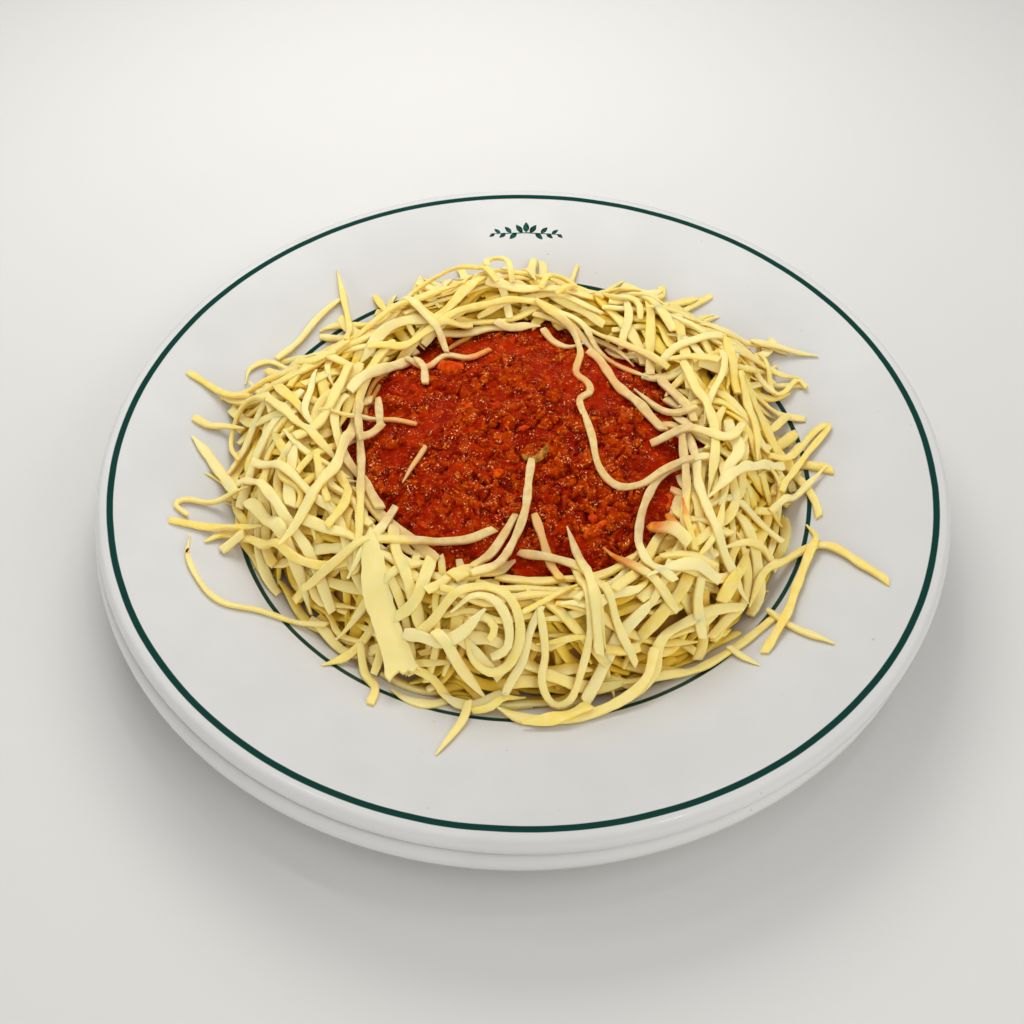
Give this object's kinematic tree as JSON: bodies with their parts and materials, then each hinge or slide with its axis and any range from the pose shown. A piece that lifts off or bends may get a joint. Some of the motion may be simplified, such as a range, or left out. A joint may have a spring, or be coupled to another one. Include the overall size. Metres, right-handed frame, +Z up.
{
  "type": "spaghetti bolognese",
  "caption": "Plated pasta: mound of red meat sauce on spaghetti, ringed by long shreds of grated pale cheese, on a wide-rimmed white plate with green bands, stacked on a matching plate.",
  "frame": {"origin": "on the table, under the middle of the stack of two plates", "axes": "+Z up, -Y towards the diner, +X to the diner's right"},
  "size_m": [0.3012, 0.3006, 0.0541],
  "materials": {
    "porcelain": "white glazed hotel porcelain with two dark green bands",
    "pasta": "cooked wheat pasta, moist",
    "sauce": "glossy tomato and minced meat sauce",
    "cheese": "young semi-hard cheese, waxy, freshly grated"
  },
  "bodies": {
    "root": {"under_plate": "porcelain", "plate": "porcelain", "spaghetti": "pasta", "bolognese_sauce": "sauce", "grated_cheese": "cheese", "cheese_slice": "cheese", "shred_left": "cheese", "shred_left_middle": "cheese", "shred_left_pair": "cheese", "shred_left_arc": "cheese", "shred_front": "cheese", "shred_right_low": "cheese", "shred_right_long": "cheese", "shred_right_far": "cheese", "shred_back": "cheese"}
  },
  "joints": []
}
